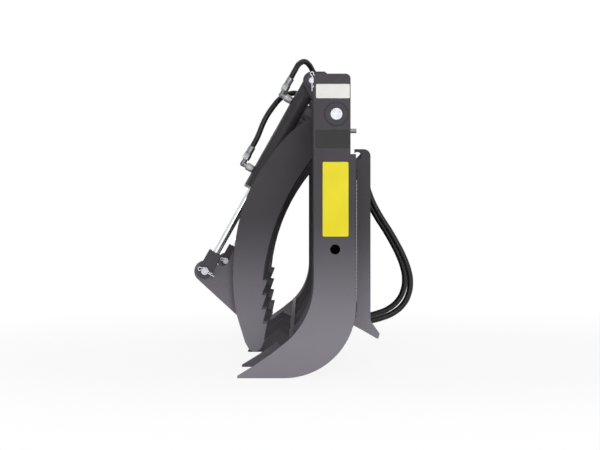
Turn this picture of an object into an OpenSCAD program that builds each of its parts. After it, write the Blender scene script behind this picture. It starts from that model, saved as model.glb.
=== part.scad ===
// Brush grapple for a skid-steer loader: six curved tines in a welded frame, a toothed lid of
// three twin-plate arms on a full-width pivot shaft, and two hydraulic cylinders that close it.
// X = 0 is the rear face of the coupler plate, -X runs out along the tines, Y is across and Z is up.
// Outlines are measured from the underside of the tines and set down by coupler_h.

/* [Frame width] */
// Width over the two side plates
overall_w = 1676; // [1560:2:1760]
// Thickness of the side plates and the tines
plate_t = 12; // [8:1:16]
// Centre of the two middle tines from the centre line
tine_mid_y = 198; // [170:1:230]
// Centre of the two outer tines from the centre line
tine_out_y = 588; // [584:1:640]
// Height of the coupler's middle above the underside of the tines
coupler_h = 340; // [300:1:380]

/* [Tine outline] */
// Reach of the tine tips in front of the coupler face
tine_reach = 293; // [275:1:330]
// Height of the blunt nose on each tine tip
nose_h = 5; // [3:0.5:8]
// Radius of the heel
heel_r = 173; // [150:1:180]
// Gap between the coupler face and the rear edge of a tine, filled by the back plate
back_t = 8; // [6:1:12]
// Width of an upright, front to back
upright_w = 101.5; // [95:0.5:110]
// Height of the uprights
upright_h = 731; // [715:1:745]
// Height at which the rear edge steps forward
step_h = 538; // [520:1:560]
// Depth of that step
step_d = 13; // [8:1:18]
// Radius of the corners at the top of an upright
upright_corner_r = 12; // [5:1:18]
// Radius of the throat arc
throat_r = 192; // [180:1:200]
// Height of the throat arc's centre
throat_h = 231; // [222:1:240]
// Angle that the throat arc turns through
throat_sweep = 47; // [40:1:52]
// Radius of the gentle arc between the throat and the nose
shin_r = 790; // [500:10:1500]

/* [Cross members] */
// Outside radius of the lower cross tube
low_tube_r = 30; // [24:1:34]
// Wall of the lower cross tube
low_tube_wall = 5; // [3:0.5:8]
// Lower cross tube's centre, in front of the coupler face
low_tube_x = 58; // [52:1:64]
// Lower cross tube's height
low_tube_z = 309; // [290:1:340]
// Radius of the drain hole in each side plate
drain_r = 12; // [8:1:16]
// Height of the upper cross tube's section
up_tube_h = 50; // [40:1:60]
// Depth of the upper cross tube's section
up_tube_d = 48; // [40:1:54]
// Wall of the upper cross tube
up_tube_wall = 5; // [3:0.5:8]
// Height of the upper cross tube's underside
up_tube_z = 440; // [420:1:455]
// Front face of the throat bar, in front of the coupler face
bar_x = 167.4; // [162:0.2:172]
// Thickness of the throat bar
bar_t = 10; // [6:1:14]
// Underside of the throat bar
bar_z = 38; // [34:1:44]
// Height of the throat bar
bar_h = 60; // [50:1:64]
// Length of the relief cut in front of the throat bar
relief_l = 32; // [20:1:40]
// Fall of that relief cut
relief_fall = 15; // [8:1:18]

/* [Pivot] */
// Lid pivot's distance in front of the coupler face
pivot_x = 55; // [52:1:60]
// Lid pivot's height
pivot_z = 634; // [625:1:642]
// Radius of the pivot shaft
shaft_r = 16; // [12:0.5:18]
// Outside radius of the bosses round the shaft
boss_r = 26; // [23:0.5:30]
// Height of the boss on the outside of each side plate
boss_h = 3; // [2:0.5:6]
// Radius of the bright cap on each shaft end
cap_r = 13.8; // [11:0.2:15]
// Thickness of that cap
cap_t = 3; // [2:0.5:5]

/* [Lid arms] */
// Distance from an outer tine's centre to the middle of the arm beside it
arm_inset = 108; // [100:1:114]
// Clear width between the two plates of an arm
arm_gap = 80; // [72:1:88]
// Thickness of an arm plate
arm_t = 10; // [6:0.5:12]
// Radius of the round end of an arm plate
arm_eye_r = 46; // [40:1:50]
// Outside radius of the hub tubes
hub_r = 30; // [26:0.5:34]
// Length of each hub tube
hub_l = 22; // [18:1:26]
// Outside radius of the bushes
bush_r = 21; // [19.5:0.5:23]
// Radius of the toothed inner edge
grip_r = 614; // [600:1:630]
// Height of the teeth
tooth_h = 12; // [6:0.5:16]
// Distance from one tooth to the next
tooth_pitch = 38.3; // [32:0.1:40]
// Number of teeth on a plate
tooth_count = 4; // [2:1:4]
// Outside radius of the tubes that join the arms
lid_tube_r = 24; // [18:0.5:26]
// Wall of those tubes
lid_tube_wall = 5; // [3:0.5:8]

/* [Cylinders] */
// Outside diameter of a barrel
barrel_d = 44.5; // [42:0.5:48]
// Bore of a barrel
bore_d = 38.1; // [34:0.1:39]
// Length of a barrel
barrel_l = 272; // [262:1:280]
// Distance from the base pin to the barrel
barrel_start = 55; // [50:1:60]
// Diameter of a rod
rod_d = 22; // [18:0.5:24]
// Radius of the base pins
base_pin_r = 12.5; // [9:0.5:14]
// Radius of the rod pins
rod_pin_r = 9; // [7:0.5:10]
// Width of a clevis, seen from the side
clevis_w = 36; // [32:1:40]
// Thickness of a clevis cheek
cheek_t = 10; // [7:0.5:12]
// Thickness of the plate that a clevis straddles
lug_t = 16; // [12:0.5:20]
// Radial clearance of the open pivot in that plate
lug_play = 7.5; // [7.5:0.1:8.5]
// Radius of the round end of that plate
lug_r = 29; // [28:0.5:30]
// Radius of the round end of the ear plates
ear_r = 24; // [21:0.5:28]
// Thickness of an ear plate
ear_t = 10; // [6:0.5:12]
// Width of a cylinder's base eye
eye_w = 24; // [18:1:28]

/* [Coupler] */
// Width of the coupler
coupler_w = 1130; // [1080:2:1140]
// Height of the back plate's top edge
back_top = 540; // [530:1:550]
// Height of the back plate's bottom edge
back_bottom = 104; // [98:1:112]
// Depth of the coupler's end plates
end_d = 42; // [38:1:50]
// Thickness of the end plates
end_t = 12; // [8:1:16]
// Half width of the opening between the two hook lips
lip_gap = 140; // [120:1:160]
// Thickness of the hook lips
lip_t = 8; // [5:0.5:10]
// Run of the sloped wedge flanges
wedge_run = 62; // [54:1:70]
// Thickness of the wedge flanges
wedge_t = 9; // [6:0.5:12]
// Length of a wedge flange
wedge_l = 220; // [180:1:260]

/* [Hydraulic lines] */
// Distance of the two loader hoses from the centre line
hose_y = 100; // [85:1:115]
// Diameter of a loader hose
hose_d = 18; // [14:0.5:20]
// Diameter of a cylinder hose
cyl_hose_d = 15; // [12:0.5:15]
// Radius of the steel lines
line_r = 6.5; // [5:0.5:7.5]
// Height of the steel lines above the top of the uprights
line_rise = 14; // [12:1:18]

/* [Hidden] */
$fn = 64;

// Left is the loader operator's left, which is -Y
left = -1;
right = 1;
arc_step = 4;
joint_swell = 0.8;
paint = "#5b575e";
steel = "#c9ccd0";
fitting_grey = "#9a9ca0";
rubber = "#1c1c1e";

// Clearances: a running fit, and a hole that a fixed piece is pushed through
fit = 0.05;
slip = 0.3;
eps = 1;

// Places across the frame
side_y = overall_w / 2 - plate_t / 2;
inside_y = side_y - plate_t / 2;
arm_y = tine_out_y - arm_inset;
plate_dy = arm_gap / 2 + arm_t / 2;

// Tine outline
tine_back = -back_t;
tine_front = tine_back - upright_w;
step_x = tine_back - step_d;
throat_c = [tine_front - throat_r, throat_h];
throat_end = throat_c + throat_r * [cos(throat_sweep), -sin(throat_sweep)];
nose = [-tine_reach, nose_h];
corner = upright_corner_r;
heel_c = [tine_back - heel_r, heel_r];

// Cross members and pivot, as [x, z]
low_tube = [-low_tube_x, low_tube_z];
up_tube_front = tine_back - up_tube_d;
pivot = [-pivot_x, pivot_z];
base_pin = pivot + [-55.5, 118.6];
rod_pin = pivot + [-341.4, -390];

// Arm outline from the pivot, in the closed lid
arm_inner_top = [-51.5, -85.6];
arm_inner_low = [-181.2, -570.1];
arm_toe = [-188.3, -588.6];
arm_toe_front = [-222.1, -594.4];
arm_toe_r = 21;
arm_nose = [-232.4, -576.7];
arm_knee = [-256, -499.9];
arm_belly = [-242.5, -232];
arm_belly_r = 625;
arm_shoulder = [-176.4, -99.9];
arm_shoulder_r = 407;
arm_neck = [-89.2, -1.6];
arm_neck_r = 370;
grip_chord = arm_inner_low - arm_inner_top;
grip_c = (arm_inner_top + arm_inner_low) / 2 + [-grip_chord.y, grip_chord.x]
    / norm(grip_chord) * sqrt(grip_r * grip_r - grip_chord * grip_chord / 4);
tooth_first = 174.45;
tooth_step = tooth_pitch / grip_r * 180 / PI;
upper_lid_tube_at = pivot + [-163, -194];
lower_lid_tube_at = pivot + [-222, -484];
outer_plate_y = arm_y + plate_dy;
lid_tube_end = outer_plate_y - arm_t / 2;

// Cylinder frame: z from the base pin to the rod pin, x towards the ports
pin_span = rod_pin - base_pin;
pin_distance = norm(pin_span);
cylinder_tilt = atan2(pin_span.x, pin_span.y);
barrel_end = barrel_start + barrel_l;
barrel_r = barrel_d / 2;
bore_r = bore_d / 2;
rod_r = rod_d / 2;
cap_l = 12;
gland_l = 30;
gland_head = 6;
gland_start = barrel_end - gland_l;
port_r = 6;
upper_port = barrel_start + 17;
lower_port = gland_start - port_r - 8;
piston_l = 25;
piston_end = lower_port - port_r - 2;
spigot_r = 9;
port_reach = 31;
elbow_x = barrel_r + port_reach;
ferrule_l = 52;
clevis_start = pin_distance - 57.5;
slot_depth = 38;
slot_w = lug_t + 2 * 0.5;
clevis_half = slot_w / 2 + cheek_t;
socket_l = 15;
lug_hole_r = rod_pin_r + lug_play;
ear_in = eye_w / 2 + 0.5;
ear_out = ear_in + ear_t;
ear_waist = pivot + [-27, 10];

// Coupler
coupler_half = coupler_w / 2;
tab_top = back_top + 32;
lip_rise = 28;
lip_drop = 14;
wedge_fall = wedge_run * tan(30);
holder_bottom = 40;
holder_half = hose_y + 50;
park_z = 81;
bulkhead_z = back_top + 5;
bulkhead_body_r = 9;
coupler_body_r = 13;

// Steel lines
line_z = upright_h + line_rise;
supply_x = -pivot_x - 10;
return_x = -pivot_x + 17;
line_end = arm_y - 60;
drop_x = -pivot_x + shaft_r + 14;
drop_start = 42;

// Hose routes, chosen by hand. Loader hose as [x, z], down from its elbow to the parked coupler
rear_hose_route = [
    [50, 503], [57, 484], [65, 460], [77, 431], [99, 391], [124, 352], [146, 314], [166, 274],
    [180, 236], [186, 201], [181, 162], [164, 130], [134, 105], [100, 91], [62, 81]
];
// Cylinder hoses as [x, inboard of the cylinder, z], from the ferrule to the steel line's end
upper_hose_route = [
    [-167, 0, 762], [-156, 0, 782], [-145, 6, 800], [-130, 18, 808], [-117, 30, 800],
    [-106, 39, 782], [-93, 45, 763], [-79, 49, 751], [-68, 54, 746], [-65, 60, 745]
];
lower_hose_route = [
    [-270, 0, 578], [-258, 0, 600], [-237, 4, 650], [-216, 12, 684], [-193, 24, 711],
    [-173, 34, 722], [-154, 40, 725], [-133, 44, 717], [-110, 44, 713], [-85, 41, 720],
    [-62, 40, 731], [-45, 46, 742], [-38, 60, 745]
];

// Sets a piece down from tine height to the coupler's frame
module from_ground() translate([0, 0, -coupler_h]) children();

// Plate of thickness t round y, from an outline in x and z
module plate(t, y) translate([0, y + t / 2, 0]) rotate([90, 0, 0]) linear_extrude(t) children();

// Round bar along Y between y0 and y1
module bar_y(r, y0, y1, at) translate([at.x, y1, at.y]) rotate([90, 0, 0])
    cylinder(r = r, h = y1 - y0);

// Tube along Y between y0 and y1
module tube_y(r, hole, y0, y1, at) difference() {
    bar_y(r, y0, y1, at);
    bar_y(hole, y0 - eps, y1 + eps, at);
}

// Points of the side from a to b: straight at 0, swelling at +r, hollow at -r
function side_points(a, b, r) = r == 0 ? [a] :
    let (chord = b - a, l = norm(chord), bend = sign(r),
        c = (a + b) / 2 + bend * sqrt(r * r - l * l / 4) * [chord.y, -chord.x] / l,
        sweep = 2 * asin(l / 2 / abs(r)), n = ceil(sweep / arc_step),
        start = atan2(a.y - c.y, a.x - c.x))
    [for (i = [0:n - 1]) let (t = start - bend * sweep * i / n) c + abs(r) * [cos(t), sin(t)]];

// Outline through points listed clockwise, with one radius for each side
module outline(points, radii) {
    n = len(points);
    polygon([for (i = [0:n - 1]) each side_points(points[i], points[(i + 1) % n], radii[i])]);
}

// Point where the line from q touches the circle round c
function tangent_point(c, r, q, side) =
    let (d = q - c, a = atan2(d.y, d.x) + side * acos(r / norm(d))) c + r * [cos(a), sin(a)];

function unit(v) = v / norm(v);
function tangent(p, i) = unit(p[min(i + 1, len(p) - 1)] - p[max(i - 1, 0)]);
function sides_along(p, i, last) = i == len(p) ? [] :
    let (t = tangent(p, i), u = unit(last - (last * t) * t)) concat([u], sides_along(p, i + 1, u));

// Round tube swept along p
module sweep(p, r, sides = 10) {
    across = sides_along(p, 0, [0.3, 1, 0.1]);
    rings = len(p);
    points = [for (i = [0:rings - 1]) let (t = tangent(p, i), u = across[i], w = cross(t, u))
        for (k = [0:sides - 1]) p[i] + r * (cos(360 * k / sides) * u + sin(360 * k / sides) * w)];
    skin = [for (i = [0:rings - 2]) for (k = [0:sides - 1]) let (next = (k + 1) % sides)
        [i * sides + k, (i + 1) * sides + k, (i + 1) * sides + next, i * sides + next]];
    first_cap = [for (k = [0:sides - 1]) k];
    last_cap = [for (k = [sides - 1:-1:0]) (rings - 1) * sides + k];
    polyhedron(points, concat([first_cap, last_cap], skin));
}

// Steel pipe through points, with a round joint a little wider than the pipe at each corner
module pipe(p, r) {
    for (i = [0:len(p) - 2]) {
        run = p[i + 1] - p[i];
        translate(p[i]) rotate([0, acos(run.z / norm(run)), atan2(run.y, run.x)])
            cylinder(r = r, h = norm(run));
    }
    for (i = [1:len(p) - 2]) translate(p[i]) sphere(r + joint_swell);
}

// Hexagon bar along z, measured across its corners
module hex(r, h) cylinder(r = r, h = h, $fn = 6);

module tine_outline() outline([
        nose, throat_end, [tine_front, throat_h], [tine_front, upright_h - corner],
        [tine_front + corner, upright_h], [step_x - corner, upright_h],
        [step_x, upright_h - corner], [step_x, step_h], [tine_back, step_h],
        [tine_back, heel_c.y], [heel_c.x, 0], [nose.x, 0]
    ], [-shin_r, -throat_r, 0, corner, 0, corner, 0, 0, 0, heel_r, 0, 0]);

module side_plate(s) color(paint) from_ground() plate(plate_t, s * side_y) difference() {
    tine_outline();
    translate(pivot) circle(shaft_r + slip);
    translate(low_tube) circle(drain_r);
}

// Slot for the throat bar, with the relief cut that falls towards it
module bar_slot() {
    relief_low = [-bar_x, bar_z + 7];
    polygon([
        relief_low + [-relief_l, relief_fall], relief_low, [-bar_x, bar_z],
        [-bar_x + bar_t, bar_z], [-bar_x + bar_t, throat_h], [-bar_x - relief_l, throat_h]
    ]);
}

module inner_tine(y) color(paint) from_ground() plate(plate_t, y) difference() {
    tine_outline();
    bar_slot();
    translate(pivot) circle(shaft_r + slip);
    translate(low_tube) circle(low_tube_r + slip);
    translate([up_tube_front, up_tube_z]) square([up_tube_d + 2 * back_t, up_tube_h]);
}

module throat_bar() color(paint) from_ground()
    translate([-bar_x, -inside_y, bar_z]) cube([bar_t, 2 * inside_y, bar_h]);

module lower_cross_tube() color(paint) from_ground()
    tube_y(low_tube_r, low_tube_r - low_tube_wall, -inside_y, inside_y, low_tube);

module upper_cross_tube() color(paint) from_ground() difference() {
    translate([up_tube_front, -inside_y, up_tube_z]) cube([up_tube_d, 2 * inside_y, up_tube_h]);
    translate([up_tube_front + up_tube_wall, -inside_y - eps, up_tube_z + up_tube_wall])
        cube([up_tube_d - 2 * up_tube_wall, 2 * (inside_y + eps), up_tube_h - 2 * up_tube_wall]);
}

shaft_half = overall_w / 2 + boss_h;
hub_out = plate_dy + hub_l / 2;

module pivot_shaft() color(steel) from_ground() bar_y(shaft_r, -shaft_half, shaft_half, pivot);

// Rings on the side plates, and long bosses that keep the lid from sliding along the shaft
module pivot_bosses() color(paint) from_ground() for (s = [left, right]) {
    mirror([0, s < 0 ? 1 : 0, 0]) {
        tube_y(boss_r, shaft_r + slip, overall_w / 2, shaft_half, pivot);
        tube_y(boss_r, shaft_r + slip, arm_y + hub_out + 0.5, tine_out_y - plate_t / 2, pivot);
    }
}

// Bright caps with four dimples for a pin spanner
module pivot_caps() color(steel) from_ground() for (s = [left, right])
    mirror([0, s < 0 ? 1 : 0, 0]) difference() {
        bar_y(cap_r, shaft_half, shaft_half + cap_t, pivot);
        for (a = [45:90:315])
            bar_y(1.6, shaft_half + cap_t / 2, shaft_half + cap_t + eps,
                pivot + cap_r * 0.6 * [cos(a), sin(a)]);
    }

// Ear outline: round at the base pin, down behind the lid arms to the upper cross tube
module ear_outline() difference() {
    union() {
        translate(base_pin) circle(ear_r);
        polygon([
            [up_tube_front - 14, up_tube_z], pivot + [-46, -70], ear_waist,
            tangent_point(base_pin, ear_r, ear_waist, -1), base_pin,
            base_pin + [0, ear_r], base_pin + [34, ear_r], [step_x, upright_h],
            [step_x, up_tube_z + up_tube_h], [up_tube_front, up_tube_z + up_tube_h],
            [up_tube_front, up_tube_z]
        ]);
    }
    translate(base_pin) circle(base_pin_r + fit);
    translate(pivot) circle(shaft_r + slip);
}

module ear_plates(s) color(paint) from_ground() for (d = [-1, 1])
    plate(ear_t, s * arm_y + d * (ear_in + ear_t / 2)) ear_outline();

// Headed pin through the two ears and the cylinder's base eye
module base_pin_piece(s) color(steel) from_ground() {
    head = ear_out + 0.2;
    bar_y(base_pin_r, s * arm_y - head - 5, s * arm_y + head + 5, base_pin);
    for (d = [-1, 1])
        bar_y(base_pin_r + 4, s * arm_y + (d > 0 ? head : -head - 3),
            s * arm_y + (d > 0 ? head + 3 : -head), base_pin);
}

module back_plate() color(paint) from_ground() difference() {
    rotate([90, 0, 90]) translate([0, 0, -back_t]) linear_extrude(back_t) polygon([
        [-coupler_half, back_bottom], [-coupler_half, back_top], [-lip_gap, back_top],
        [-lip_gap + 20, tab_top], [lip_gap - 20, tab_top], [lip_gap, back_top],
        [coupler_half, back_top], [coupler_half, back_bottom]
    ]);
    for (s = [left, right]) translate([-back_t - eps, s * hose_y, bulkhead_z]) rotate([0, 90, 0])
        cylinder(r = bulkhead_body_r + slip, h = back_t + 2 * eps);
}

// Lips that hang the grapple on the loader's plate, sloped at 45 degrees
module hook_lips() color(paint) from_ground() for (s = [left, right]) {
    l = coupler_half - end_t - lip_gap;
    slope_t = lip_t * sqrt(2);
    apex = [lip_rise, back_top + lip_rise - 2];
    plate(l, s * (lip_gap + l / 2)) polygon([
        [0, back_top - 2], apex, apex + [lip_drop, -lip_drop],
        apex + [lip_drop - slope_t / 2, -lip_drop - slope_t / 2], apex + [0, -slope_t],
        [0, back_top - 2 - slope_t]
    ]);
}

// Sloped flanges that the loader's locking pins wedge under, with their slots
module wedge_flanges() color(paint) from_ground() for (s = [left, right]) {
    y = s * (coupler_half - end_t - wedge_l / 2);
    drop = wedge_t / cos(30);
    difference() {
        plate(wedge_l, y) polygon([
            [0, back_bottom + drop], [wedge_run, back_bottom + drop - wedge_fall],
            [wedge_run - wedge_t * sin(30), back_bottom + drop - wedge_fall - wedge_t * cos(30)],
            [0, back_bottom]
        ]);
        translate([wedge_run * 0.35, y - 35, back_bottom - wedge_fall - 20]) cube([22, 70, 60]);
    }
}

module coupler_end_plates() color(paint) from_ground() for (s = [left, right]) {
    top = back_top + lip_rise - 2;
    crown = 18;
    drop = wedge_t / cos(30);
    toe = [wedge_run, back_bottom + drop - wedge_fall];
    plate(end_t, s * (coupler_half - end_t / 2)) difference() {
        outline([
            [0, back_bottom], [0, top], [end_d - crown, top], [end_d, top - crown],
            [end_d, back_bottom + 14], toe + [4, 5], toe + [0, -wedge_t]
        ], [0, 0, crown, 0, 0, 0, 0]);
        translate([-eps, back_bottom + 23]) square([6.6 + eps, back_top - 26 - back_bottom - 23]);
        translate([7.6, back_top + 9]) circle(10);
    }
}

module hose_guide_pins() color(steel) from_ground() for (s = [left, right])
    translate([step_x, s * tine_out_y, pivot_z - 22]) rotate([0, 90, 0]) cylinder(r = plate_t / 2, h = 25);

// Elbows that bring the loader hoses through the back plate's tab
module bulkhead_fittings() color(fitting_grey) from_ground() for (s = [left, right]) {
    translate([-back_t - 10, s * hose_y, bulkhead_z]) rotate([0, 90, 0]) hex(14, 10);
    translate([-back_t - 10, s * hose_y, bulkhead_z]) rotate([0, 90, 0])
        cylinder(r = bulkhead_body_r, h = back_t + 10);
    translate([0, s * hose_y, bulkhead_z]) rotate([0, 90, 0]) hex(14, 12);
    first = [rear_hose_route[0].x, s * hose_y, rear_hose_route[0].y];
    pipe([[10, s * hose_y, bulkhead_z], [27, s * hose_y, bulkhead_z - 2], first],
        bulkhead_body_r + 0.5);
}

module line_end_nut(x, s) translate([x, s * line_end, line_z]) rotate([s * 90, 0, 0])
    hex(line_r + 4, 22);

// One steel line across the uprights, with the drop that feeds it
module steel_line(x, s) color(fitting_grey) from_ground() {
    bar_y(line_r, -line_end, line_end, [x, line_z]);
    pipe([
        [x, s * hose_y, line_z], [x, s * hose_y, line_z - drop_start],
        [drop_x, s * hose_y, line_z - drop_start - 1.2 * (drop_x - x)],
        [drop_x, s * hose_y, bulkhead_z],
        [-back_t - 10, s * hose_y, bulkhead_z]
    ], line_r - 0.5);
    for (e = [left, right]) line_end_nut(x, e);
}

module line_clamps() color(fitting_grey) from_ground() for (s = [left, right]) difference() {
    lead = line_r + 7;
    translate([supply_x - lead, s * tine_mid_y - 12, upright_h])
        cube([return_x - supply_x + 2 * lead, 24, line_rise + line_r + 5]);
    for (x = [supply_x, return_x])
        bar_y(line_r + slip, s * tine_mid_y - 12 - eps, s * tine_mid_y + 12 + eps, [x, line_z]);
}

// Plate under the coupler that parks the two quick couplers
module coupler_holder() color(paint) from_ground() difference() {
    translate([-back_t, -holder_half, holder_bottom])
        cube([back_t, 2 * holder_half, back_bottom - holder_bottom]);
    for (s = [left, right]) translate([-back_t - eps, s * hose_y, park_z]) rotate([0, 90, 0])
        cylinder(r = coupler_body_r + slip, h = back_t + 2 * eps);
}

module quick_couplers() color(steel) from_ground() for (s = [left, right])
    translate([0, s * hose_y, park_z]) rotate([0, 90, 0]) {
        translate([0, 0, -back_t - 30]) cylinder(r = coupler_body_r, h = back_t + 30);
        translate([0, 0, -back_t - 26]) cylinder(r = coupler_body_r + 3, h = 18);
        cylinder(r = coupler_body_r + 3, h = 6);
        translate([0, 0, 6]) hex(coupler_body_r, 22);
        translate([0, 0, 28]) cylinder(r = hose_d / 2 + 1.5, h = 34);
    }

module rear_hose(s) color(rubber) from_ground()
    sweep([for (p = rear_hose_route) [p.x, s * hose_y, p.y]], hose_d / 2);

// Points of the teeth, from the top down: each has a flat shelf on top and a long slant below
function on_grip(r, a) = pivot + grip_c + r * [cos(a), sin(a)];
teeth = [
    for (i = [0:tooth_count - 1]) let (a = tooth_first + i * tooth_step)
        each [on_grip(grip_r, a - 0.15), on_grip(grip_r - tooth_h, a)],
    on_grip(grip_r, tooth_first + (tooth_count - 0.06) * tooth_step)
];

// Arm outline with its round eye, toothed inner edge and blunt toe. The lid tubes pass through a
// bored plate, and stop against the two outermost ones
module arm_outline(bored) difference() {
    eye_end = atan2(arm_inner_top.y, arm_inner_top.x);
    outline(
        concat([
            tangent_point(pivot, arm_eye_r, pivot + arm_neck, -1), pivot + [arm_eye_r, 0],
            pivot + arm_eye_r * [cos(eye_end), sin(eye_end)], pivot + arm_inner_top
        ], teeth, [
            pivot + arm_inner_low, pivot + arm_toe, pivot + arm_toe_front, pivot + arm_nose,
            pivot + arm_knee, pivot + arm_belly, pivot + arm_shoulder, pivot + arm_neck
        ]),
        concat([arm_eye_r, arm_eye_r, 0, -grip_r], [for (i = [2:len(teeth)]) 0], [
            -grip_r, 0, arm_toe_r, 0, 0, arm_belly_r, arm_shoulder_r, arm_neck_r, 0
        ])
    );
    translate(pivot) circle(hub_r + slip);
    if (bored) for (tube = [upper_lid_tube_at, lower_lid_tube_at])
        translate(tube) circle(lid_tube_r + slip);
}

module arm_plates(y) color(paint) from_ground() for (d = [-1, 1])
    plate(arm_t, y + d * plate_dy) arm_outline(abs(y + d * plate_dy) < outer_plate_y);

module at_each_hub() for (y = [-arm_y, 0, arm_y]) for (d = [-1, 1])
    translate([0, y + d * plate_dy, 0]) children();

module lid_hubs() color(paint) from_ground() at_each_hub()
    tube_y(hub_r, bush_r, -hub_l / 2, hub_l / 2, pivot);

module lid_bushes() color("#a8864a") from_ground() at_each_hub()
    tube_y(bush_r - fit, shaft_r + fit, -hub_l / 2, hub_l / 2, pivot);

module lid_tube(at) color(paint) from_ground()
    tube_y(lid_tube_r, lid_tube_r - lid_tube_wall, -lid_tube_end, lid_tube_end, at);

// Plate that the rod pin works in, carried by the lower lid tube
module cylinder_lug(s) color(paint) from_ground() plate(lug_t, s * arm_y) difference() {
    heel = lower_lid_tube_at + [-34, -24];
    outline([
        heel, tangent_point(rod_pin, lug_r, heel, -1), rod_pin + lug_r * [cos(100), sin(100)],
        rod_pin + lug_r * [cos(-29), sin(-29)], rod_pin + [51.4, 18],
        lower_lid_tube_at + [-44.5, 152.6], lower_lid_tube_at + [-23, 150],
        lower_lid_tube_at + [15, 110], lower_lid_tube_at + [29, 50],
        lower_lid_tube_at + [29, -30], lower_lid_tube_at + [-23, -38]
    ], [0, lug_r, lug_r, -40, 0, 0, 0, 0, 0, 0, 0]);
    translate(rod_pin) circle(lug_hole_r);
    translate(lower_lid_tube_at) circle(lid_tube_r + slip);
}

// Puts a piece on a cylinder's axis, with z from the base pin towards the rod pin
module on_cylinder(s) from_ground() translate([base_pin.x, s * arm_y, base_pin.y])
    rotate([0, cylinder_tilt, 0]) children();

module barrel(s) color(paint) on_cylinder(s) difference() {
    translate([0, 0, barrel_start]) cylinder(r = barrel_r, h = barrel_l);
    translate([0, 0, barrel_start - eps]) cylinder(r = bore_r, h = barrel_l + 2 * eps);
    for (z = [upper_port, lower_port]) translate([0, 0, z]) rotate([0, 90, 0])
        cylinder(r = port_r, h = barrel_r + eps);
}

module base_eye(s) color(paint) on_cylinder(s) difference() {
    union() {
        bar_y(barrel_r, -eye_w / 2, eye_w / 2, [0, 0]);
        translate([-barrel_r + 2, -eye_w / 2, 0])
            cube([barrel_d - 4, eye_w, barrel_start - cap_l]);
        translate([0, 0, barrel_start - cap_l]) cylinder(r = barrel_r, h = cap_l);
        translate([0, 0, barrel_start]) cylinder(r = bore_r - fit, h = 8);
    }
    bar_y(base_pin_r + fit, -eye_w, eye_w, [0, 0]);
}

module gland(s) color(steel) on_cylinder(s) difference() {
    union() {
        translate([0, 0, gland_start]) cylinder(r = bore_r - fit, h = gland_l);
        translate([0, 0, barrel_end]) cylinder(r = barrel_r, h = gland_head);
    }
    translate([0, 0, gland_start - eps])
        cylinder(r = rod_r + fit, h = gland_l + gland_head + 2 * eps);
}

// Adaptor, elbow, nut and crimped ferrule on each port
module port_fitting(z) translate([0, 0, z]) {
    translate([barrel_r, 0, 0]) rotate([0, 90, 0]) cylinder(r = port_r + 4, h = 4);
    translate([barrel_r + 4, 0, 0]) rotate([0, 90, 0]) hex(10.5, 15);
    pipe([[barrel_r + 18, 0, 0], [elbow_x, 0, 0], [elbow_x, 0, -14]], 7);
    translate([elbow_x, 0, -30]) hex(10.5, 16);
    translate([elbow_x, 0, -ferrule_l]) cylinder(r = cyl_hose_d / 2 + 2, h = ferrule_l - 29);
}

module port_fittings(s) color(fitting_grey) on_cylinder(s) {
    port_fitting(upper_port);
    port_fitting(lower_port);
}

module cylinder_hose(s, route) color(rubber) from_ground()
    sweep([for (p = route) [p.x, s * (arm_y - p.y), p.z]], cyl_hose_d / 2);

module piston(s) color(steel) on_cylinder(s) difference() {
    translate([0, 0, piston_end - piston_l]) cylinder(r = bore_r - fit, h = piston_l);
    translate([0, 0, piston_end - piston_l - eps])
        cylinder(r = spigot_r + fit, h = piston_l + 2 * eps);
}

module rod(s) color(steel) on_cylinder(s) {
    translate([0, 0, piston_end]) cylinder(r = rod_r, h = clevis_start + socket_l - piston_end);
    translate([0, 0, piston_end - piston_l]) cylinder(r = spigot_r, h = piston_l);
}

module clevis(s) color(paint) on_cylinder(s) difference() {
    union() {
        translate([-clevis_w / 2, -clevis_half, clevis_start])
            cube([clevis_w, 2 * clevis_half, pin_distance - clevis_start]);
        bar_y(clevis_w / 2, -clevis_half, clevis_half, [0, pin_distance]);
    }
    translate([-clevis_w, -slot_w / 2, pin_distance - slot_depth])
        cube([2 * clevis_w, slot_w, 2 * clevis_w]);
    bar_y(rod_pin_r + fit, -clevis_half - eps, clevis_half + eps, [0, pin_distance]);
    translate([0, 0, clevis_start - eps]) cylinder(r = rod_r + fit, h = socket_l + eps);
}

module rod_pin_piece(s) color(steel) on_cylinder(s) {
    reach = clevis_half + 7;
    bar_y(rod_pin_r, -reach, reach, [0, pin_distance]);
    for (d = [-1, 1]) bar_y(rod_pin_r + 3, d > 0 ? clevis_half + 0.2 : -clevis_half - 3.2,
        d > 0 ? clevis_half + 3.2 : -clevis_half - 0.2, [0, pin_distance]);
}

side_plate(left);  // side_plate_left
side_plate(right);  // side_plate_right
inner_tine(-tine_out_y);  // tine_left_outer
inner_tine(-tine_mid_y);  // tine_left_inner
inner_tine(tine_mid_y);  // tine_right_inner
inner_tine(tine_out_y);  // tine_right_outer
throat_bar();
lower_cross_tube();
upper_cross_tube();
pivot_shaft();
pivot_bosses();
pivot_caps();
ear_plates(left);  // ear_plates_left
ear_plates(right);  // ear_plates_right
base_pin_piece(left);  // base_pin_left
base_pin_piece(right);  // base_pin_right
back_plate();
hook_lips();
wedge_flanges();
coupler_end_plates();
hose_guide_pins();
bulkhead_fittings();
steel_line(supply_x, left);  // supply_line
steel_line(return_x, right);  // return_line
line_clamps();
coupler_holder();
quick_couplers();
rear_hose(left);  // rear_hose_left
rear_hose(right);  // rear_hose_right
arm_plates(-arm_y);  // arm_plates_left
arm_plates(0);  // arm_plates_centre
arm_plates(arm_y);  // arm_plates_right
lid_hubs();
lid_bushes();
lid_tube(upper_lid_tube_at);  // upper_lid_tube
lid_tube(lower_lid_tube_at);  // lower_lid_tube
cylinder_lug(left);  // cylinder_lug_left
cylinder_lug(right);  // cylinder_lug_right
barrel(left);  // barrel_left
base_eye(left);  // base_eye_left
gland(left);  // gland_left
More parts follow.
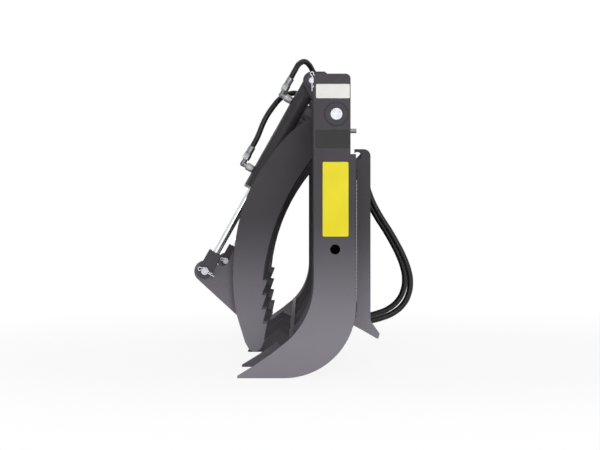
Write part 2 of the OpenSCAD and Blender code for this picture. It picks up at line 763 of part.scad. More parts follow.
port_fittings(left);  // port_fittings_left
cylinder_hose(left, upper_hose_route);  // upper_hose_left
cylinder_hose(left, lower_hose_route);  // lower_hose_left
piston(left);  // piston_left
rod(left);  // rod_left
clevis(left);  // clevis_left
rod_pin_piece(left);  // rod_pin_left
barrel(right);  // barrel_right
base_eye(right);  // base_eye_right
gland(right);  // gland_right
port_fittings(right);  // port_fittings_right
cylinder_hose(right, upper_hose_route);  // upper_hose_right
cylinder_hose(right, lower_hose_route);  // lower_hose_right
piston(right);  // piston_right
rod(right);  // rod_right
clevis(right);  // clevis_right
rod_pin_piece(right);  // rod_pin_right
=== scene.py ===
# Looks of the brush grapple: powder-coated tine frame and lid, bright pins, black hoses
import math

import bpy
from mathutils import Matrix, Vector


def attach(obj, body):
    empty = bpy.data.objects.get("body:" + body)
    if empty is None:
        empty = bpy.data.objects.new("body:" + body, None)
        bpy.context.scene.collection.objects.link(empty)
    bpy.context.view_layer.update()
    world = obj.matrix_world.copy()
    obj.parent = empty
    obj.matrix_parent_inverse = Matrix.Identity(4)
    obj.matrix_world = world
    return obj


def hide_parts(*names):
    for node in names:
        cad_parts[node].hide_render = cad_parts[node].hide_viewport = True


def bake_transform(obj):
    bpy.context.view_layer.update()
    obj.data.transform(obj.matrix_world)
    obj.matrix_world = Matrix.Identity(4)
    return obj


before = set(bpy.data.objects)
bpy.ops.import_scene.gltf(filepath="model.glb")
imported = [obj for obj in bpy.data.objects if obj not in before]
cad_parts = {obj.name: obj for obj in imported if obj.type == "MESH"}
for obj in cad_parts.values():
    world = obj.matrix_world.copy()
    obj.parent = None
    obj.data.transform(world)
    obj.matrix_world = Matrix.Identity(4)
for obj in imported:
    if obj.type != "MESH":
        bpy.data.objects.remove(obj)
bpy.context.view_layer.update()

# Sizes and places are in millimetres: x towards the loader, y across, z up from the tines'
# underside. A pair of numbers is a place in the side view, x and z.
MM = 0.001
ORIGIN_H = 340
LEFT, RIGHT = -1, 1
SIDE_NAME = {LEFT: "left", RIGHT: "right"}
ARM_Y = 480
TINE_Y = (-588, -198, 198, 588)
SIDE_PLATE_IN, SIDE_PLATE_OUT = 826, 838
HOSE_Y = 100
PIVOT = (-55, 634)
LOW_TUBE = (-58, 309)
UPPER_LID_TUBE = (-218, 440)
LOWER_LID_TUBE = (-277, 150)
BASE_PIN = (-110.5, 752.6)
ROD_PIN = (-396.4, 244)


def at(x, y, z):
    """A point given in millimetres from the underside of the tines, in the frame's metres."""
    return Vector((x * MM, y * MM, (z - ORIGIN_H) * MM))


def deselect():
    bpy.ops.object.select_all(action="DESELECT")


def pick(piece):
    """Makes a piece the only one selected, and the active one."""
    deselect()
    piece.select_set(True)
    bpy.context.view_layer.objects.active = piece


def settle(piece, body):
    """Puts the piece's place into its mesh, and lets it ride on a body of the frame."""
    pick(piece)
    bpy.ops.object.transform_apply(location=True, rotation=True, scale=True)
    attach(piece, body)
    return piece


def as_mesh(piece):
    """Turns a curve into its mesh."""
    pick(piece)
    bpy.ops.object.convert(target="MESH")
    return bpy.context.view_layer.objects.active


# Camera: level, in front of the left side plate, with the photograph's 76 mm view
camera_data = bpy.data.cameras.new("camera")
camera_data.lens = 76.2
camera_data.sensor_width = 36
camera = bpy.data.objects.new("camera", camera_data)
camera.location = (-0.1424, -3.885, 0.0277)
camera.rotation_euler = (math.pi / 2, 0, 0)
bpy.context.scene.collection.objects.link(camera)
bpy.context.scene.camera = camera


# Materials
def linear(hex_colour):
    """The linear RGBA of an sRGB hex value."""
    channels = [int(hex_colour[i:i + 2], 16) / 255 for i in (1, 3, 5)]
    return [c / 12.92 if c <= 0.04045 else ((c + 0.055) / 1.055) ** 2.4 for c in channels] + [1]


def node(tree, kind, settings=None, links=None):
    """Adds a node. A settings key is a property, or else an input's name or number."""
    made = tree.nodes.new(kind)
    for key, value in (settings or {}).items():
        if isinstance(key, str) and hasattr(made, key) and key not in made.inputs:
            setattr(made, key, value)
        else:
            made.inputs[key].default_value = value
    for key, source in (links or {}).items():
        tree.links.new(source, made.inputs[key])
    return made


def new_material(name):
    """A node material with its shader and its object coordinates."""
    material = bpy.data.materials.new(name)
    material.use_nodes = True
    tree = material.node_tree
    tree.nodes.clear()
    shader = node(tree, "ShaderNodeBsdfPrincipled")
    node(tree, "ShaderNodeOutputMaterial", links={"Surface": shader.outputs["BSDF"]})
    place = node(tree, "ShaderNodeTexCoord").outputs["Object"]
    return material, tree, shader, place


# Where a Mix node takes its share and its two colours, and gives their blend
SHARE, FIRST, SECOND, BLEND = 0, 6, 7, 2


def two_tones(tree, noise, low, high, tone, other_tone):
    """A finish's tone, turning into its other tone as a noise rises from low to high."""
    share = node(tree, "ShaderNodeMapRange", {"From Min": low, "From Max": high},
                 {"Value": noise.outputs["Fac"]})
    return node(tree, "ShaderNodeMix",
                {"data_type": "RGBA", FIRST: linear(tone), SECOND: linear(other_tone)},
                {SHARE: share.outputs["Result"]}).outputs[BLEND]


def per_metre(size_mm):
    """Noise scale at which one blotch is about this many millimetres."""
    return 1000 / size_mm


# Painted reflected light: the coat is palest below one height and has none of the painted paler
# tone above the other
PAINTED_REFLECTION_TONE = "#918c95"
PAINTED_REFLECTION_FULL_BELOW, PAINTED_REFLECTION_GONE_AT = at(0, 0, 70).z, at(0, 0, 410).z


def powder_coat(name, colour, light_colour, painted_reflection_share):
    """Powder coat on blasted steel: satin, fine orange peel, with painted reflected light making
    it paler low on its side faces.
    """
    material, tree, shader, place = new_material(name)
    shader.inputs["IOR"].default_value = 1.5
    shader.inputs["Specular IOR Level"].default_value = 0.28
    cloud = node(tree, "ShaderNodeTexNoise", {"Scale": per_metre(140), "Detail": 5.0},
                 {"Vector": place})
    scuff = node(tree, "ShaderNodeTexNoise", {"Scale": per_metre(35), "Detail": 8.0},
                 {"Vector": place})
    # Painted reflected light: a paler tone painted low down, strongest on the side faces, broken
    # up a little by the scuff noise
    height = node(tree, "ShaderNodeSeparateXYZ", links={"Vector": place})
    low_down = node(tree, "ShaderNodeMapRange",
                    {"interpolation_type": "SMOOTHSTEP", "From Min": PAINTED_REFLECTION_FULL_BELOW,
                     "From Max": PAINTED_REFLECTION_GONE_AT, "To Min": painted_reflection_share, "To Max": 0.0},
                    {"Value": height.outputs["Z"]})
    facing = node(tree, "ShaderNodeSeparateXYZ",
                  links={"Vector": node(tree, "ShaderNodeTexCoord").outputs["Normal"]})
    sideways = node(tree, "ShaderNodeMath", {"operation": "ABSOLUTE"}, {0: facing.outputs["Y"]})
    side_face = node(tree, "ShaderNodeMapRange",
                     {"From Min": 0.35, "From Max": 0.9, "To Min": 0.12, "To Max": 1.0},
                     {"Value": sideways.outputs[0]})
    side_low = node(tree, "ShaderNodeMath", {"operation": "MULTIPLY"},
                    {0: low_down.outputs["Result"], 1: side_face.outputs["Result"]})
    patchy = node(tree, "ShaderNodeMapRange", {"To Min": 0.88, "To Max": 1.0},
                  {"Value": scuff.outputs["Fac"]})
    painted_reflection = node(tree, "ShaderNodeMath", {"operation": "MULTIPLY"},
                {0: side_low.outputs[0], 1: patchy.outputs["Result"]})
    tone = node(tree, "ShaderNodeMix", {"data_type": "RGBA", SECOND: linear(PAINTED_REFLECTION_TONE)},
                {SHARE: painted_reflection.outputs[0],
                 FIRST: two_tones(tree, cloud, 0.3, 0.7, colour, light_colour)})
    tree.links.new(tone.outputs[BLEND], shader.inputs["Base Color"])
    gloss = node(tree, "ShaderNodeMapRange", {"To Min": 0.48, "To Max": 0.64},
                 {"Value": scuff.outputs["Fac"]})
    tree.links.new(gloss.outputs["Result"], shader.inputs["Roughness"])
    soft_edge = node(tree, "ShaderNodeBevel", {"samples": 4, "Radius": 1.2 * MM})
    # Orange peel is about 1 mm on the real coat, drawn at 3 mm so that it shows
    peel = node(tree, "ShaderNodeTexNoise", {"Scale": per_metre(3), "Detail": 3.0},
                {"Vector": place})
    bump = node(tree, "ShaderNodeBump", {"Strength": 0.12, "Distance": 0.4 * MM},
                {"Height": peel.outputs["Fac"], "Normal": soft_edge.outputs["Normal"]})
    tree.links.new(bump.outputs["Normal"], shader.inputs["Normal"])
    return material


def bare_metal(name, colour, worn_colour, roughness, grain_mm):
    """Turned or plated metal: bright, with a fine grain and small dull patches."""
    material, tree, shader, place = new_material(name)
    shader.inputs["Metallic"].default_value = 1
    patches = node(tree, "ShaderNodeTexNoise", {"Scale": per_metre(18), "Detail": 6.0},
                   {"Vector": place})
    tree.links.new(two_tones(tree, patches, 0.35, 0.7, colour, worn_colour),
                   shader.inputs["Base Color"])
    dull = node(tree, "ShaderNodeMapRange",
                {"To Min": roughness * 0.7, "To Max": roughness * 1.4},
                {"Value": patches.outputs["Fac"]})
    tree.links.new(dull.outputs["Result"], shader.inputs["Roughness"])
    grain = node(tree, "ShaderNodeTexNoise", {"Scale": per_metre(grain_mm), "Detail": 2.0},
                 {"Vector": place})
    bump = node(tree, "ShaderNodeBump", {"Strength": 0.08, "Distance": 0.2 * MM},
                {"Height": grain.outputs["Fac"]})
    tree.links.new(bump.outputs["Normal"], shader.inputs["Normal"])
    return material


PAINT_LINE = 0.3


def pin_end_steel(name, centre, bright_radius, painted_from_y, bare_from_y):
    """Zinc-plated pin in a painted collar: bright inside a radius, coated round it.

    The collar's coat begins past one distance from the middle of the machine. Nearer to the
    middle than the other distance the whole pin is coated.
    """
    material, tree, shader, place = new_material(name)
    patches = node(tree, "ShaderNodeTexNoise", {"Scale": per_metre(9), "Detail": 6.0},
                   {"Vector": place})
    offset = node(tree, "ShaderNodeVectorMath",
                  {"operation": "SUBTRACT", 1: at(centre[0], 0, centre[1])}, {0: place})
    flat = node(tree, "ShaderNodeVectorMath", {"operation": "MULTIPLY", 1: (1, 0, 1)},
                {0: offset.outputs["Vector"]})
    reach = node(tree, "ShaderNodeVectorMath", {"operation": "LENGTH"},
                 {0: flat.outputs["Vector"]})
    outside = node(tree, "ShaderNodeMapRange",
                   {"From Min": bright_radius * MM, "From Max": (bright_radius + PAINT_LINE) * MM},
                   {"Value": reach.outputs["Value"]})
    across = node(tree, "ShaderNodeSeparateXYZ", links={"Vector": place})
    side_reach = node(tree, "ShaderNodeMath", {"operation": "ABSOLUTE"},
                      {0: across.outputs["Y"]})
    past = node(tree, "ShaderNodeMath", {"operation": "GREATER_THAN", 1: painted_from_y * MM},
                {0: side_reach.outputs[0]})
    collar = node(tree, "ShaderNodeMath", {"operation": "MULTIPLY"},
                  {0: outside.outputs["Result"], 1: past.outputs[0]})
    inboard = node(tree, "ShaderNodeMath", {"operation": "LESS_THAN", 1: bare_from_y * MM},
                   {0: side_reach.outputs[0]})
    paint = node(tree, "ShaderNodeMath", {"operation": "MAXIMUM"},
                 {0: collar.outputs[0], 1: inboard.outputs[0]})
    tone = node(tree, "ShaderNodeMix", {"data_type": "RGBA", SECOND: linear("#3a373b")},
                {SHARE: paint.outputs[0],
                 FIRST: two_tones(tree, patches, 0.35, 0.7, "#b6b8bc", "#a5a7ac")})
    tree.links.new(tone.outputs[BLEND], shader.inputs["Base Color"])
    metal = node(tree, "ShaderNodeMath", {"operation": "SUBTRACT", 0: 1.0}, {1: paint.outputs[0]})
    tree.links.new(metal.outputs[0], shader.inputs["Metallic"])
    dull = node(tree, "ShaderNodeMapRange", {"To Min": 0.52, "To Max": 0.56},
                {"Value": paint.outputs[0]})
    tree.links.new(dull.outputs["Result"], shader.inputs["Roughness"])
    return material


def hose_rubber():
    """Textile-covered hydraulic hose: matt black rubber with the weave showing through."""
    material, tree, shader, place = new_material("hose_rubber")
    shader.inputs["IOR"].default_value = 1.52
    shader.inputs["Specular IOR Level"].default_value = 0.3
    shine = node(tree, "ShaderNodeTexNoise", {"Scale": per_metre(25), "Detail": 4.0},
                 {"Vector": place})
    tree.links.new(two_tones(tree, shine, 0.3, 0.75, "#0a0a0b", "#19191b"),
                   shader.inputs["Base Color"])
    gloss = node(tree, "ShaderNodeMapRange", {"To Min": 0.3, "To Max": 0.48},
                 {"Value": shine.outputs["Fac"]})
    tree.links.new(gloss.outputs["Result"], shader.inputs["Roughness"])
    # Braid pitch is about 1.5 mm on the real cover, drawn at 3 mm so that it shows
    braid = node(tree, "ShaderNodeTexVoronoi", {"Scale": per_metre(3)}, {"Vector": place})
    bump = node(tree, "ShaderNodeBump", {"Strength": 0.35, "Distance": 0.3 * MM},
                {"Height": braid.outputs["Distance"]})
    tree.links.new(bump.outputs["Normal"], shader.inputs["Normal"])
    return material


def vinyl(name, colour, faded_colour):
    """Cast vinyl film on the coat: flat colour with slight fading, half gloss."""
    material, tree, shader, place = new_material(name)
    shader.inputs["Specular IOR Level"].default_value = 0.2
    fade = node(tree, "ShaderNodeTexNoise", {"Scale": per_metre(60), "Detail": 4.0},
                {"Vector": place})
    tree.links.new(two_tones(tree, fade, 0.3, 0.8, colour, faded_colour),
                   shader.inputs["Base Color"])
    gloss = node(tree, "ShaderNodeMapRange", {"To Min": 0.28, "To Max": 0.42},
                 {"Value": fade.outputs["Fac"]})
    tree.links.new(gloss.outputs["Result"], shader.inputs["Roughness"])
    film = node(tree, "ShaderNodeBump", {"Strength": 0.05, "Distance": 0.2 * MM},
                {"Height": fade.outputs["Fac"]})
    tree.links.new(film.outputs["Normal"], shader.inputs["Normal"])
    return material


# The last number is the share of painted reflected light low down. The inner copy of the coat
# takes less of it, which paints the inner plates as shaded. The cylinders take less as well.
frame_coat = powder_coat("powder_coated_steel", "#3e3b40", "#444146", 1.0)
painted_shade_inner_coat = powder_coat("powder_coat_painted_shade_inner", "#3e3b40", "#444146", 0.3)
cylinder_coat = powder_coat("cylinder_enamel", "#343135", "#3d3a3f", 0.3)
zinc = bare_metal("bright_zinc_plate", "#cfd2d6", "#a9adb3", 0.28, 2)
chrome = bare_metal("hard_chrome", "#dfe1e4", "#c9ccd1", 0.12, 4)
dull_zinc = bare_metal("dull_zinc_fittings", "#8a8b8e", "#6a6b6f", 0.45, 2)
bronze = bare_metal("bearing_bronze", "#a88248", "#8a6a3b", 0.35, 2)
rubber = hose_rubber()
vinyl_white = vinyl("white_vinyl", "#f8f7f4", "#efeeeb")
vinyl_dark = vinyl("black_vinyl", "#0b0a0c", "#151416")
vinyl_yellow = vinyl("yellow_vinyl", "#fdec06", "#f6e40e")

pivot_steel = pin_end_steel("pivot_steel", PIVOT, 14, SIDE_PLATE_OUT - 2, 0)
base_pin_steel = pin_end_steel("base_pin_steel", BASE_PIN, 8, 0, ARM_Y)
rod_pin_steel = pin_end_steel("rod_pin_steel", ROD_PIN, 9, 0, 0)

# The inner tines, throat bar and centre arm plates get the copy of the coat with painted shade
NODE_FINISH = {
    "lid_bushes": bronze, "pivot_shaft": pivot_steel, "pivot_caps": pivot_steel,
    "quick_couplers": zinc, "throat_bar": painted_shade_inner_coat, "arm_plates_centre": painted_shade_inner_coat,
    "tine_left_outer": painted_shade_inner_coat, "tine_left_inner": painted_shade_inner_coat,
    "tine_right_inner": painted_shade_inner_coat, "tine_right_outer": painted_shade_inner_coat,
    "hose_guide_pins": dull_zinc, "bulkhead_fittings": dull_zinc, "supply_line": dull_zinc,
    "return_line": dull_zinc, "line_clamps": dull_zinc,
}
SIDE_FINISH = {
    "base_pin": base_pin_steel, "rod": chrome, "rod_pin": rod_pin_steel, "piston": zinc,
    "gland": dull_zinc, "port_fittings": dull_zinc, "barrel": cylinder_coat,
    "base_eye": cylinder_coat, "clevis": cylinder_coat,
}
for side in SIDE_NAME.values():
    NODE_FINISH.update({f"{name}_{side}": finish for name, finish in SIDE_FINISH.items()})
for name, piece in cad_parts.items():
    piece.data.materials.clear()
    piece.data.materials.append(NODE_FINISH.get(name, frame_coat))


# Hoses, along the routes that the frame holds. A cylinder hose's second number is how far
# inboard of its cylinder it lies.
REAR_HOSE = [
    (50, 503), (57, 484), (65, 460), (77, 431), (99, 391), (124, 352), (146, 314), (166, 274),
    (180, 236), (186, 201), (181, 162), (164, 130), (134, 105), (100, 91), (62, 81),
]
UPPER_HOSE = [
    (-167, 0, 762), (-156, 0, 782), (-145, 6, 800), (-130, 18, 808), (-117, 30, 800),
    (-106, 39, 782), (-93, 45, 763), (-79, 49, 751), (-68, 54, 746), (-65, 60, 745),
]
LOWER_HOSE = [
    (-270, 0, 578), (-258, 0, 600), (-237, 4, 650), (-216, 12, 684), (-193, 24, 711),
    (-173, 34, 722), (-154, 40, 725), (-133, 44, 717), (-110, 44, 713), (-85, 41, 720),
    (-62, 40, 731), (-45, 46, 742), (-38, 60, 745),
]
REAR_HOSE_D = 18 * MM
CYLINDER_HOSE_D = 15 * MM
HOSE_STEPS = 8


def round_curve(name, places, radius, along, around, finish):
    """A hose or wire as a smooth round curve through its places."""
    curve = bpy.data.curves.new(name, "CURVE")
    curve.dimensions = "3D"
    curve.bevel_depth = radius
    curve.bevel_resolution = around
    curve.resolution_u = along
    curve.use_fill_caps = True
    spline = curve.splines.new("BEZIER")
    spline.bezier_points.add(len(places) - 1)
    for point, place in zip(spline.bezier_points, places):
        point.co = place
        point.handle_left_type = "AUTO"
        point.handle_right_type = "AUTO"
    piece = bpy.data.objects.new(name, curve)
    bpy.context.scene.collection.objects.link(piece)
    piece.data.materials.append(finish)
    bpy.context.view_layer.update()
    return piece


for s, side in SIDE_NAME.items():
    route = [at(x, s * HOSE_Y, z) for x, z in REAR_HOSE]
    loader_hose = round_curve(f"loader_hose_{side}", route, REAR_HOSE_D / 2, HOSE_STEPS, 5, rubber)
    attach(loader_hose, "root")
    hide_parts(f"rear_hose_{side}")
    for name, points in (("upper", UPPER_HOSE), ("lower", LOWER_HOSE)):
        route = [at(x, s * (ARM_Y - inboard), z) for x, inboard, z in points]
        piece = round_curve(f"{name}_cylinder_hose_{side}", route, CYLINDER_HOSE_D / 2,
                            HOSE_STEPS, 5, rubber)
        piece = as_mesh(piece)
        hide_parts(f"{name}_hose_{side}")
        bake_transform(piece)


# Weld beads where the tubes pass through the plates
RING_BEAD_R, RUN_BEAD_R = 2.6, 3.0
RING_RIPPLES = 36
RUN_STEP = 2.5


def weld_ring(name, radius, place, body):
    """A rippled bead round a tube, against the face of a plate."""
    deselect()
    bpy.ops.mesh.primitive_torus_add(
        major_segments=72, minor_segments=8, major_radius=(radius + 1) * MM,
        minor_radius=RING_BEAD_R * MM, rotation=(math.pi / 2, 0, 0), location=at(*place))
    ring = bpy.context.view_layer.objects.active
    ring.name = name
    for v in ring.data.vertices:
        ripple = 1 + 0.012 * math.sin(RING_RIPPLES * math.atan2(v.co.y, v.co.x))
        v.co.x *= ripple
        v.co.y *= ripple
    bpy.ops.object.shade_smooth()
    ring.data.materials.append(frame_coat)
    return settle(ring, body)


LOW_TUBE_R, LID_TUBE_R, HUB_R, BOSS_R = 30, 24, 30, 25.5
TINE_HALF, LUG_HALF = 6, 8
ARM_PLATE_OFFSET, ARM_PLATE_HALF = 45, 5
LID_TUBE_END = 520
TINE_FACES = [(tine, tine + face) for tine in TINE_Y for face in (-TINE_HALF, TINE_HALF)]
ARM_FACES = [arm + plate * ARM_PLATE_OFFSET + face * ARM_PLATE_HALF
             for arm in (-ARM_Y, 0, ARM_Y) for plate in (-1, 1) for face in (-1, 1)]

for number, (tine, face) in enumerate(TINE_FACES, 1):
    weld_ring(f"tine_weld_{number}", LOW_TUBE_R, (LOW_TUBE[0], face, LOW_TUBE[1]), "root")
for s, side in SIDE_NAME.items():
    weld_ring(f"side_weld_{side}", LOW_TUBE_R, (LOW_TUBE[0], s * SIDE_PLATE_IN, LOW_TUBE[1]),
              "root")
for number, face in enumerate(ARM_FACES):
    for label, tube in (("upper", UPPER_LID_TUBE), ("lower", LOWER_LID_TUBE)):
        if abs(face) <= LID_TUBE_END:
            weld_ring(f"{label}_lid_weld_{number}", LID_TUBE_R, (tube[0], face, tube[1]), "lid")
    weld_ring(f"hub_weld_{number}", HUB_R, (PIVOT[0], face, PIVOT[1]), "lid")
for s, side in SIDE_NAME.items():
    for face in (-LUG_HALF, LUG_HALF):
        weld_ring(f"lug_weld_{side}_{'out' if face * s > 0 else 'in'}", LID_TUBE_R,
                  (LOWER_LID_TUBE[0], s * ARM_Y + face, LOWER_LID_TUBE[1]), "lid")
    weld_ring(f"boss_weld_{side}", BOSS_R, (PIVOT[0], s * SIDE_PLATE_OUT, PIVOT[1]), "root")


# Straight fillets between flat members and the plates that carry them
def weld_run(name, start, end, body):
    """A rippled fillet along a straight joint."""
    axis = end - start
    deselect()
    bpy.ops.mesh.primitive_cylinder_add(vertices=10, radius=RUN_BEAD_R * MM, depth=axis.length,
                                        location=(start + end) / 2,
                                        rotation=axis.to_track_quat("Z", "Y").to_euler())
    bead = bpy.context.view_layer.objects.active
    bead.name = name
    bpy.ops.object.mode_set(mode="EDIT")
    bpy.ops.mesh.select_all(action="DESELECT")
    bpy.ops.mesh.select_mode(type="EDGE")
    bpy.ops.object.mode_set(mode="OBJECT")
    for edge in bead.data.edges:
        a, b = (bead.data.vertices[i].co for i in edge.vertices)
        edge.select = abs(a.z - b.z) > axis.length / 2
    bpy.ops.object.mode_set(mode="EDIT")
    bpy.ops.mesh.subdivide(number_cuts=max(4, int(axis.length / (RUN_STEP * MM))))
    bpy.ops.object.mode_set(mode="OBJECT")
    for v in bead.data.vertices:
        ripple = 1 + 0.12 * math.sin(v.co.z / MM)
        v.co.x *= ripple
        v.co.y *= ripple
    bpy.ops.object.shade_smooth()
    bead.data.materials.append(frame_coat)
    return settle(bead, body)


# Throat bar and square tube against the inner tines, and coupler end plates against the back plate
BAR_FRONT, BAR_LOW, BAR_HIGH = -167.4, 45, 97
BEAM_BACK, BEAM_LOW, BEAM_HIGH = -56, 441, 489
COUPLER_HALF, END_PLATE_T = 565, 12
SLIT_MIDDLE, SLIT_LOW, SLIT_HIGH = 3.3, 124, 517
for number, (tine, face) in enumerate(TINE_FACES):
    tag = f"{number // 2}_{'a' if face < tine else 'b'}"
    weld_run(f"bar_weld_{tag}", at(BAR_FRONT, face, BAR_LOW), at(BAR_FRONT, face, BAR_HIGH),
             "root")
    weld_run(f"beam_weld_{tag}", at(BEAM_BACK, face, BEAM_LOW), at(BEAM_BACK, face, BEAM_HIGH),
             "root")
for s, side in SIDE_NAME.items():
    inner_face = s * (COUPLER_HALF - END_PLATE_T - 2)
    weld_run(f"end_plate_weld_{side}", at(SLIT_MIDDLE, inner_face, SLIT_LOW),
             at(SLIT_MIDDLE, inner_face, SLIT_HIGH), "root")


# Blank decal panels on the left side plate
DECAL_T, DECAL_CORNER = 0.5, 3


def decal(name, low, high, finish):
    """A thin panel with rounded corners on the outer face of the left side plate."""
    deselect()
    middle = at((low[0] + high[0]) / 2, -SIDE_PLATE_OUT - DECAL_T / 2, (low[1] + high[1]) / 2)
    bpy.ops.mesh.primitive_cube_add(size=1, location=middle)
    panel = bpy.context.view_layer.objects.active
    panel.name = name
    panel.scale = ((high[0] - low[0]) * MM, DECAL_T * MM, (high[1] - low[1]) * MM)
    bpy.ops.object.transform_apply(location=False, rotation=False, scale=True)
    corner = panel.modifiers.new("corner", "BEVEL")
    corner.width = DECAL_CORNER * MM
    corner.segments = 4
    corner.limit_method = "WEIGHT"
    weights = panel.data.attributes.new("bevel_weight_edge", "FLOAT", "EDGE")
    for edge in panel.data.edges:
        a, b = (panel.data.vertices[i].co for i in edge.vertices)
        weights.data[edge.index].value = 1.0 if abs(a.y - b.y) > DECAL_T * MM / 2 else 0.0
    bpy.ops.object.modifier_apply(modifier="corner")
    panel.data.materials.append(finish)
    return settle(panel, "root")


decal("white_decal", (-104, 672), (-23, 706), vinyl_white)
decal("black_decal", (-106, 552), (-23, 596), vinyl_dark)
decal("yellow_decal", (-88, 340), (-26, 519), vinyl_yellow)


# Bolts on top of the line clamps
def eased_cylinder(sides, radius, height, centre, ease, segments):
    """An upright cylinder with eased edges."""
    deselect()
    bpy.ops.mesh.primitive_cylinder_add(vertices=sides, radius=radius, depth=height,
                                        location=centre)
    piece = bpy.context.view_layer.objects.active
    bevel = piece.modifiers.new("ease", "BEVEL")
    bevel.width = ease * MM
    bevel.segments = segments
    bpy.ops.object.modifier_apply(modifier="ease")
    return piece


def hex_bolt(name, place, across, body):
    """A hexagon head with its chamfer and washer, standing on a face."""
    head = eased_cylinder(6, across * MM / math.sqrt(3), across * 0.6 * MM,
                          place + Vector((0, 0, across * 0.35 * MM)), 0.9, 2)
    eased_cylinder(32, across * 0.75 * MM, 2 * MM, place + Vector((0, 0, MM)), 0.4, 1)
    head.select_set(True)
    bpy.context.view_layer.objects.active = head
    bpy.ops.object.join()
    bpy.ops.object.shade_smooth_by_angle(angle=math.radians(30))
    head.name = name
    head.data.materials.append(zinc)
    return settle(head, body)


CLAMP_X, CLAMP_Y, CLAMP_TOP = -51.5, 198, 756.5
for s, side in SIDE_NAME.items():
    hex_bolt(f"clamp_bolt_{side}", at(CLAMP_X, s * CLAMP_Y, CLAMP_TOP), 12, "root")


# Spring clips through the ends of the pins
ROD_PIN_R, ROD_COLLAR = 9, 21.7
BASE_PIN_R, BASE_COLLAR = 12.5, 25.7
WIRE_R = 1.3
CLIP_RING_R = 4.6


def spring_clip(name, body, pin, radius, y, turn):
    """A spring clip of round wire through a pin: a ring, a straight leg and a bowed leg."""
    leg = [(29, 0), (14, 0), (0, 0), (-radius - 1, -0.4)]
    ring = [(-radius - 5 + CLIP_RING_R * math.cos(a), CLIP_RING_R * math.sin(a))
            for a in (math.radians(step) for step in (-70, -130, 180, 130, 70))]
    bow = [(-radius * 0.75, radius * 0.8), (0, radius + WIRE_R), (radius * 0.8, radius * 0.75),
           (radius + 5, 3), (radius + 11, 5.5)]
    places = [at(pin[0] + u * math.cos(turn) - v * math.sin(turn), y,
                 pin[1] + u * math.sin(turn) + v * math.cos(turn)) for u, v in leg + ring + bow]
    clip = as_mesh(round_curve(name, places, WIRE_R * MM, 12, 3, zinc))
    bpy.ops.object.shade_smooth()
    return settle(clip, body)


for s, side in SIDE_NAME.items():
    for outward in (-1, 1):
        spring_clip(f"hairpin_{side}_{'out' if outward == s else 'in'}", f"rod_{side}_body",
                    ROD_PIN, ROD_PIN_R, s * ARM_Y + outward * (ROD_COLLAR + WIRE_R),
                    math.radians(-29))
    spring_clip(f"base_pin_clip_{side}", "root", BASE_PIN, BASE_PIN_R,
                s * (ARM_Y + BASE_COLLAR + WIRE_R), math.radians(-90))


# Lug plates that carry the rod pins, with the web that fills the corner beside the clevis
LUG_R, LUG_HOLE_R, LUG_TUBE_R = 29, 16.5, 24.3
LUG_EASE = 0.4
WEB_R = 17
WEB_CORNER = (ROD_PIN[0] + 45.5, ROD_PIN[1] + 31)
LUG_HEEL = (LOWER_LID_TUBE[0] - 34, LOWER_LID_TUBE[1] - 24)
# The part that the arm's plates hide, round the lower lid tube
LUG_INSIDE = [(-37.5, 161), (-23, 150), (15, 110), (29, 50), (29, -30), (-23, -38)]


def arc(centre, radius, first, last, steps=24):
    """Points on an arc in the side view, between two angles in degrees."""
    angles = [math.radians(first + (last - first) * i / steps) for i in range(steps + 1)]
    return [(centre[0] + radius * math.cos(a), centre[1] + radius * math.sin(a)) for a in angles]


def round_hole(centre, radius):
    """A closed ring of points, 6 degrees apart."""
    return arc(centre, radius, 0, 354, 59)


def lug_outline():
    """Heel, round end at the rod pin, hollow corner beside the clevis, then inside the arm."""
    dx, dz = LUG_HEEL[0] - ROD_PIN[0], LUG_HEEL[1] - ROD_PIN[1]
    tangent = math.degrees(math.atan2(dz, dx) - math.acos(LUG_R / math.hypot(dx, dz)))
    return ([LUG_HEEL] + arc(ROD_PIN, LUG_R, tangent, -300) + arc(WEB_CORNER, WEB_R, -115, -30)
            + [(LOWER_LID_TUBE[0] + x, LOWER_LID_TUBE[1] + z) for x, z in LUG_INSIDE])


def lug_plate(name, y):
    """The lug plate with its two holes and eased edges, standing at a distance across."""
    curve = bpy.data.curves.new(name, "CURVE")
    curve.dimensions = "2D"
    curve.fill_mode = "BOTH"
    curve.extrude = (LUG_HALF - LUG_EASE) * MM
    curve.bevel_depth = LUG_EASE * MM
    curve.offset = -LUG_EASE * MM
    holes = [round_hole(ROD_PIN, LUG_HOLE_R), round_hole(LOWER_LID_TUBE, LUG_TUBE_R)]
    for loop in [lug_outline()] + holes:
        spline = curve.splines.new("POLY")
        spline.points.add(len(loop) - 1)
        for point, (x, z) in zip(spline.points, loop):
            point.co = (x * MM, z * MM, 0, 1)
        spline.use_cyclic_u = True
    plate = bpy.data.objects.new(name, curve)
    bpy.context.scene.collection.objects.link(plate)
    plate.rotation_euler = (math.pi / 2, 0, 0)
    plate.location = at(0, y, 0)
    plate = as_mesh(plate)
    bpy.ops.object.mode_set(mode="EDIT")
    bpy.ops.mesh.select_all(action="SELECT")
    bpy.ops.mesh.remove_doubles(threshold=0.01 * MM)
    bpy.ops.mesh.normals_make_consistent(inside=False)
    bpy.ops.object.mode_set(mode="OBJECT")
    bpy.ops.object.shade_smooth_by_angle(angle=math.radians(30))
    plate.data.materials.append(frame_coat)
    return settle(plate, "lid")


for s, side in SIDE_NAME.items():
    lug = lug_plate(f"rod_lug_plate_{side}", s * ARM_Y)
    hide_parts(f"cylinder_lug_{side}")


# Studio
def seen_or_mirrored(tree):
    """1 for rays from the camera and from shiny or clear surfaces, which all show white."""
    rays = node(tree, "ShaderNodeLightPath")
    seen = node(tree, "ShaderNodeMath", {"operation": "MAXIMUM"},
                {0: rays.outputs["Is Camera Ray"], 1: rays.outputs["Is Glossy Ray"]})
    return node(tree, "ShaderNodeMath", {"operation": "MAXIMUM"},
                {0: seen.outputs[0], 1: rays.outputs["Is Transmission Ray"]}).outputs[0]


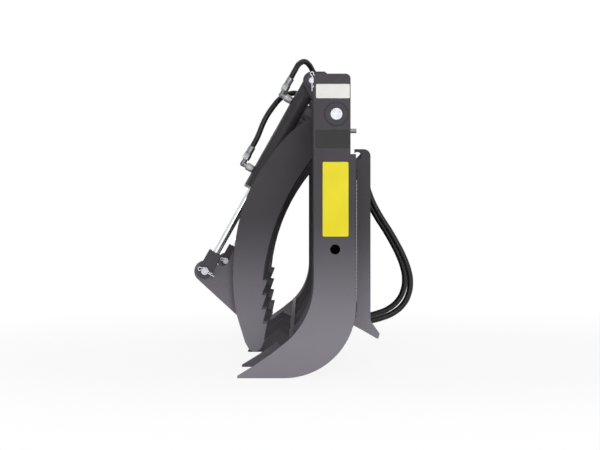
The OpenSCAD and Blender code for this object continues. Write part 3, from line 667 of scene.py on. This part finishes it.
def white_stage(name, near_share):
    """Pale matt floor: white to the camera far off, with a soft shadow near the piece."""
    material = bpy.data.materials.new(name)
    material.use_nodes = True
    tree = material.node_tree
    tree.nodes.clear()
    matt = node(tree, "ShaderNodeBsdfDiffuse", {"Color": linear("#f4f4f4")})
    glow = node(tree, "ShaderNodeEmission", {"Color": (1, 1, 1, 1), "Strength": 1.0})
    distance = node(tree, "ShaderNodeVectorMath", {"operation": "LENGTH"},
                    {0: node(tree, "ShaderNodeTexCoord").outputs["Object"]})
    share = node(tree, "ShaderNodeMapRange",
                 {"interpolation_type": "SMOOTHSTEP", "From Min": 0.8, "From Max": 1.9,
                  "To Min": near_share, "To Max": 1.0},
                 {"Value": distance.outputs["Value"]})
    shown = node(tree, "ShaderNodeMath", {"operation": "MULTIPLY"},
                 {0: share.outputs["Result"], 1: seen_or_mirrored(tree)})
    both = node(tree, "ShaderNodeMixShader",
                links={0: shown.outputs[0], 1: matt.outputs[0], 2: glow.outputs[0]})
    node(tree, "ShaderNodeOutputMaterial", links={"Surface": both.outputs[0]})
    return material


FLOOR_DROP = 0.0005
deselect()
bpy.ops.mesh.primitive_plane_add(size=24, location=at(0, 0, 0) - Vector((0, 0, FLOOR_DROP)))
floor = bpy.context.view_layer.objects.active
floor.name = "floor"
floor.data.materials.append(white_stage("floor_white", 0.88))

world = bpy.data.worlds.new("studio")
bpy.context.scene.world = world
world.use_nodes = True
tree = world.node_tree
tree.nodes.clear()
lit = node(tree, "ShaderNodeBackground", {"Color": (1, 1, 1, 1), "Strength": 0.25})
shown = node(tree, "ShaderNodeBackground", {"Color": (1, 1, 1, 1), "Strength": 1.0})
mix = node(tree, "ShaderNodeMixShader",
           links={0: seen_or_mirrored(tree), 1: lit.outputs[0], 2: shown.outputs[0]})
node(tree, "ShaderNodeOutputWorld", links={"Surface": mix.outputs[0]})


def softbox(name, place, target, size, power):
    """A square area lamp that points at a target."""
    lamp = bpy.data.lights.new(name, "AREA")
    lamp.size = size
    lamp.energy = power
    piece = bpy.data.objects.new(name, lamp)
    piece.location = place
    piece.rotation_euler = (Vector(target) - Vector(place)).to_track_quat("-Z", "Y").to_euler()
    bpy.context.scene.collection.objects.link(piece)


softbox("key_softbox", (0.3, -4.4, 0.9), (-0.1, -0.5, 0), 2.2, 61)
softbox("fill_softbox", (2.8, -2.6, 1.2), (0, 0, 0), 2.4, 8)
softbox("top_softbox", (0, 0.4, 3.0), (0, 0, 0), 2.6, 18)
softbox("rear_softbox", (1.6, 3.6, 1.6), (0, 0, 0), 2.4, 75)
softbox("jaw_softbox", (-3.2, 2.4, 1.8), (0, 0, 0), 2.4, 48)

bpy.context.scene.view_settings.view_transform = "Standard"
